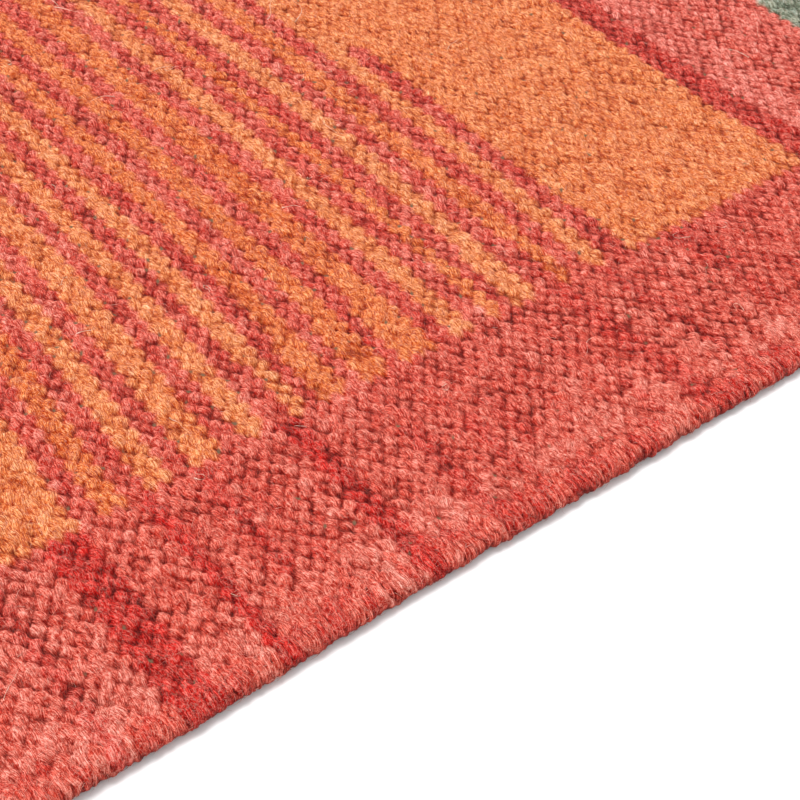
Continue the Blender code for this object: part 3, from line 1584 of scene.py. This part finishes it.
@dataclass
class Underside:
    """The rug's back: the same weave seen from below, resting flat.

    Its pits and crests are heights over the floor.
    """

    form: RugForm
    layout: ColourLayout
    finish: bpy.types.Material
    half_warps: int = 75
    pit: float = 0.50 * MM
    crest: float = 0.05 * MM
    crest_varies: float = 0.3
    pit_light: float = 0.25

    def build(self) -> bpy.types.Object:
        """Builds and dresses the underside.

        Returns:
            The finished piece.
        """
        half, weave = int(self.form.last_pick), self.form.weave
        shape = grid((half, self.half_warps), (2 * half, 2 * self.half_warps))
        bmesh.ops.reverse_faces(shape, faces=shape.faces)
        cloth = Cloth("kilim_underside", finished(shape))
        lattice = np.rint(cloth.points())
        picks, warps = lattice[:, 0], lattice[:, 1]
        rise = ((warps + picks) % 2 == 1).astype(float)
        rise = rise * (1 - self.crest_varies * hashed(warps, picks, Series.UNDERSIDE))
        z = self.pit + (self.crest - self.pit) * rise
        z = self.form.levelled(picks, z, self.form.thickness / 2 - self.form.end_crest)
        places = self.form.place(warps, picks, warps * weave.warp_step, z)
        middle = cloth.middles(lattice)
        i, j = weave.float_at(middle[:, 1] + 1, middle[:, 0])
        steps = (weave.warp_step, weave.pick_step)
        cloth.map_weave((warps, picks), (i - 1, j), (warps, picks), steps, fan=True)
        cloth.dress(i, j, self.layout, self.finish)
        # The rise, down to pit_light in the pits, drives the wool's painted shade there.
        return cloth.complete(places, self.pit_light + (1 - self.pit_light) * rise)


@dataclass(frozen=True)
class FibreLot:
    """One kind of loose fibre: how many there are, their sizes, and how they stand and bend."""

    name: str
    series: Series
    count: int
    sections: int
    shortest: float
    longest: float
    thickness: float
    stand: float
    curl: float
    paleness: float


FACE_FUZZ = FibreLot(
    "kilim_fuzz",
    Series.FACE_FUZZ,
    count=4600,
    sections=2,
    shortest=1.6 * MM,
    longest=4.5 * MM,
    thickness=0.13 * MM,
    stand=0.55,
    curl=1.6,
    paleness=0.45,
)
EDGE_FUZZ = FibreLot(
    "kilim_edge_fuzz",
    Series.EDGE_FUZZ,
    count=2000,
    sections=3,
    shortest=1.8 * MM,
    longest=4.2 * MM,
    thickness=0.14 * MM,
    stand=0.35,
    curl=1.2,
    paleness=0.30,
)
LONG_HAIRS = FibreLot(
    "kilim_hairs",
    Series.LONG_HAIRS,
    count=150,
    sections=12,
    shortest=6 * MM,
    longest=17 * MM,
    thickness=0.26 * MM,
    stand=0.34,
    curl=6.0,
    paleness=1.0,
)


@dataclass
class StrayFibres:
    """Fibres that have worked loose from the yarn and stand over the face and edges.

    A fibre climbs from its root by climb_first of its stand, and by climb_loses less at its tip.
    Places that fibres leave a selvedge from are millimetres round its profile.
    """

    relief: FaceRelief
    finish: bpy.types.Material
    half_warps: int = 73
    half_picks: int = 141
    root_sunk: float = 0.06
    edge_from: float = 3.5
    edge_reach: float = 10.0
    edge_sunk: float = 0.1 * MM
    short_share: float = 1.6
    bend_varies: float = 0.6
    bend_turn: float = 9.0
    bend_start: float = 6.0
    stand_least: float = 0.4
    stand_varies: float = 1.2
    climb_first: float = 1.3
    climb_loses: float = 2.1
    tilt: float = 0.3
    girth_least: float = 0.75
    girth_varies: float = 0.5
    pale_least: float = 0.5
    map_width: float = 0.2 * MM

    def fibres(self, lot: FibreLot) -> Cloth:
        """One joined mesh of straight fibres, all on the same spot, ready to be laid.

        Args:
            lot: The kind of fibre.

        Returns:
            The piece, whose fibres have length and radius 1.
        """
        shape = bmesh.new()
        bmesh.ops.create_cone(
            shape,
            cap_ends=True,
            cap_tris=False,
            segments=3,
            radius1=1.0,
            radius2=0.0,
            depth=1.0,
            matrix=Matrix.Translation((0.0, 0.0, 0.5)),
        )
        long_edges = [e for e in shape.edges if abs(e.verts[0].co.z - e.verts[1].co.z) > 0.5]
        bmesh.ops.subdivide_edges(shape, edges=long_edges, cuts=lot.sections - 1)
        one = bpy.data.objects.new(lot.name, finished(shape))
        bpy.context.scene.collection.objects.link(one)
        copies = one.modifiers.new("copies", "ARRAY")
        copies.count = lot.count
        copies.use_relative_offset = False
        graph = bpy.context.evaluated_depsgraph_get()
        mesh = bpy.data.meshes.new_from_object(one.evaluated_get(graph))
        bpy.data.objects.remove(one)
        return Cloth(lot.name, mesh)

    def face_roots(self, count: int) -> Roots:
        """Where fibres leave the face.

        Args:
            count: How many.

        Returns:
            Root places, outward normals, and the warp and pick of each root's float.
        """
        number = np.arange(count)
        warps = balanced(number, 1, Series.FIBRE_ROOTS) * self.half_warps
        picks = balanced(number, 2, Series.FIBRE_ROOTS) * self.half_picks
        rise = self.relief.rise(warps, picks) - self.root_sunk
        normals = np.zeros((count, 3))
        normals[:, 2] = 1.0
        i, j = self.relief.form.weave.float_at(warps, picks)
        return self.relief.places(warps, picks, rise), normals, i, j

    def edge_roots(self, edge: TurnedSelvedge, count: int) -> Roots:
        """Where fibres leave one selvedge.

        Args:
            edge: The selvedge.
            count: How many.

        Returns:
            Root places, outward normals, and the warp and pick of each root's weft.
        """
        number = np.arange(count)
        picks = balanced(number, 3, Series.FIBRE_ROOTS) * self.half_picks
        way = (self.edge_from + self.edge_reach * hashed(number, 4, Series.FIBRE_ROOTS)) * MM
        places, _, normals = edge.surface(picks, way)
        return places - normals * self.edge_sunk, normals, *edge.owner(picks, way)

    def steps(self, lot: FibreLot, normals: Array, bend: tuple[Array, ...]) -> Array:
        """The way that each section of each fibre takes.

        Args:
            lot: The kind of fibre.
            normals: Outward normals at the roots.
            bend: Each fibre's heading, how far it turns, and its chances of swing and stand.

        Returns:
            A direction of length 1 for each section of each fibre.
        """
        heading, turning, swing, stand = (part[:, None] for part in bend)
        level = (np.arange(lot.sections) + 0.5) / lot.sections
        swings = 1 + self.bend_varies * np.sin(self.bend_turn * level + self.bend_start * swing)
        angle = heading + turning * level * swings
        flat = np.stack([np.cos(angle), np.sin(angle), 0 * angle], axis=-1)
        outward = normals[:, None]
        flat = flat - outward * (flat * outward).sum(-1, keepdims=True)
        flat = flat / np.linalg.norm(flat, axis=-1, keepdims=True)
        climb = lot.stand * (self.stand_least + self.stand_varies * stand)
        climb = (climb * (self.climb_first - self.climb_loses * level))[..., None]
        return flat * np.sqrt(np.clip(1 - climb**2, 0, 1)) + outward * climb

    def lay(self, lot: FibreLot, roots: Roots) -> bpy.types.Object:
        """Bends one lot of fibres from their roots and dresses them.

        Args:
            lot: The kind of fibre.
            roots: Root places, outward normals, warps and picks.

        Returns:
            The finished piece.
        """
        places, normals, i, j = roots
        count, number = lot.count, np.arange(lot.count)
        size, turn, curl, swing, stand, girth = (hashed(number, term, lot.series) for term in range(6))
        length = lot.shortest + (lot.longest - lot.shortest) * size**self.short_share
        heading, turning = math.tau * turn, lot.curl * (2 * curl - 1)
        steps = self.steps(lot, normals, (heading, turning, swing, stand))
        path = np.cumsum(steps * (length / lot.sections)[:, None, None], axis=1)
        path = np.concatenate([np.zeros((count, 1, 3)), path], axis=1) + places[:, None]
        cloth = self.fibres(lot)
        straight = cloth.points().reshape(count, -1, 3)
        knot = np.rint(straight[0, :, 2] * lot.sections).astype(int)
        ahead = np.stack([np.cos(heading), np.sin(heading), self.tilt + 0 * heading], -1)
        side = np.cross(normals, ahead)
        side = side / np.linalg.norm(side, axis=-1, keepdims=True)
        radius = lot.thickness / 2 * (self.girth_least + self.girth_varies * girth)[:, None, None]
        ring = straight[:, :, :1] * side[:, None] + straight[:, :, 1:2] * normals[:, None]
        laid = path[:, knot] + ring * radius
        laid[..., 2] = np.maximum(laid[..., 2], ABOVE_FLOOR)
        each = len(cloth.mesh.polygons) // count
        even = np.stack([straight[..., 2] * length[:, None], straight[..., 0] * self.map_width], -1)
        cloth.map("weave", (even.reshape(-1, 2) / MM)[cloth.corners()])
        # Loose fibres are blended towards the pale colour, each by its own chance.
        paled = np.repeat(np.clip(lot.paleness * (self.pale_least + curl), 0, 1), each)
        cloth.dress(np.repeat(i, each), np.repeat(j, each), self.relief.layout, self.finish, paled)
        return cloth.complete(laid.reshape(-1, 3), rise=1.0)

    def build(self, edges: list[TurnedSelvedge]) -> list[bpy.types.Object]:
        """Builds the fuzz of the face and both edges, and the long hairs.

        Args:
            edges: The two selvedges.

        Returns:
            The finished pieces.
        """
        made = [self.lay(FACE_FUZZ, self.face_roots(FACE_FUZZ.count))]
        half = EDGE_FUZZ.count // len(edges)
        parts = [self.edge_roots(edge, half) for edge in edges]
        made.append(self.lay(EDGE_FUZZ, tuple(np.concatenate(rows) for rows in zip(*parts))))
        made.append(self.lay(LONG_HAIRS, self.face_roots(LONG_HAIRS.count)))
        return made


@dataclass
class Studio:
    """A plain pale floor, soft light, and the camera at the photo's angle."""

    floor_size: float = 8.0
    focal_pixels: float = 1758.31
    picture_pixels: float = 800.0
    sensor: float = 36.0
    yaw: float = 47.2023
    pitch: float = 44.0560
    roll: float = 5.3619
    place: tuple[float, float, float] = (-253.95 * MM, -378.2 * MM, 303.5 * MM)
    nearest: float = 0.01
    farthest: float = 50.0
    floor_grey: float = 0.93
    floor_roughness: float = 0.9
    floor_specular: float = 0.1
    light_place: tuple[float, float, float] = (-0.40, 0.50, 2.3)
    light_size: float = 1.2
    light_power: float = 54.0
    air_strength: float = 0.90

    def floor(self) -> None:
        """Lays the pale floor."""
        half = self.floor_size / 2
        mesh = finished(grid((half, half), (1, 1)), "studio_floor")
        paint = bpy.data.materials.new("pale_floor")
        paint.use_nodes = True
        shader = paint.node_tree.nodes["Principled BSDF"]
        shader.inputs["Base Color"].default_value = (*(3 * (self.floor_grey,)), 1.0)
        shader.inputs["Roughness"].default_value = self.floor_roughness
        shader.inputs["Specular IOR Level"].default_value = self.floor_specular
        mesh.materials.append(paint)
        floor = bpy.data.objects.new("studio_floor", mesh)
        bpy.context.scene.collection.objects.link(floor)

    def lights(self) -> None:
        """Hangs one soft square light that faces the rug, and sets the room's own light."""
        data = bpy.data.lights.new("key_light", "AREA")
        data.size = self.light_size
        data.energy = self.light_power
        lamp = bpy.data.objects.new("key_light", data)
        lamp.location = self.light_place
        lamp.rotation_mode = "QUATERNION"
        lamp.rotation_quaternion = (-Vector(self.light_place)).to_track_quat("-Z", "Y")
        bpy.context.scene.collection.objects.link(lamp)
        world = bpy.data.worlds.new("studio_air")
        world.use_nodes = True
        air = world.node_tree.nodes["Background"]
        air.inputs["Color"].default_value = (1.0, 1.0, 1.0, 1.0)
        air.inputs["Strength"].default_value = self.air_strength
        bpy.context.scene.world = world

    def camera(self) -> None:
        """Sets the camera where the photo was taken."""
        yaw, pitch, roll = (math.radians(angle) for angle in (self.yaw, self.pitch, self.roll))
        ahead = Vector(
            (math.cos(pitch) * math.cos(yaw), math.cos(pitch) * math.sin(yaw), -math.sin(pitch))
        )
        right = Vector((math.sin(yaw), -math.cos(yaw), 0.0))
        up = right.cross(ahead)
        turned_right = right * math.cos(roll) + up * math.sin(roll)
        turned_up = up * math.cos(roll) - right * math.sin(roll)
        axes = Matrix((turned_right, turned_up, -ahead)).transposed()
        data = bpy.data.cameras.new("photo_camera")
        data.sensor_width = self.sensor
        data.lens = self.focal_pixels / self.picture_pixels * self.sensor
        data.clip_start = self.nearest
        data.clip_end = self.farthest
        camera = bpy.data.objects.new("photo_camera", data)
        camera.location = self.place
        camera.rotation_euler = axes.to_euler()
        bpy.context.scene.collection.objects.link(camera)
        bpy.context.scene.camera = camera
        bpy.context.scene.view_settings.view_transform = "Standard"

    def build(self) -> None:
        """Sets up the whole studio."""
        self.camera()
        self.lights()
        self.floor()


def report(pieces: list[bpy.types.Object]) -> None:
    """Logs the size of each finished piece.

    Args:
        pieces: The pieces.
    """
    for piece in pieces:
        piece.data.calc_loop_triangles()
        log.info("%s: %d triangles", piece.name, len(piece.data.loop_triangles))


def main() -> None:
    """Builds the studio and the rug, piece by piece."""
    logging.basicConfig(level=logging.INFO, format="%(name)s: %(message)s")
    Studio().build()
    form, layout = RugForm(), ColourLayout()
    relief = FaceRelief(form, layout)
    wool = WoolFinish().material()
    face = FloatPanels(relief, wool).build()
    report(face)
    edges = [TurnedSelvedge(relief, wool, side) for side in Side]
    selvedges = [edge.build() for edge in edges]
    report(selvedges)
    underside = Underside(form, layout, wool).build()
    report([underside])
    fibres = StrayFibres(relief, wool).build(edges)
    report(fibres)
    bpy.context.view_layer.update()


if __name__ == "__main__":
    main()
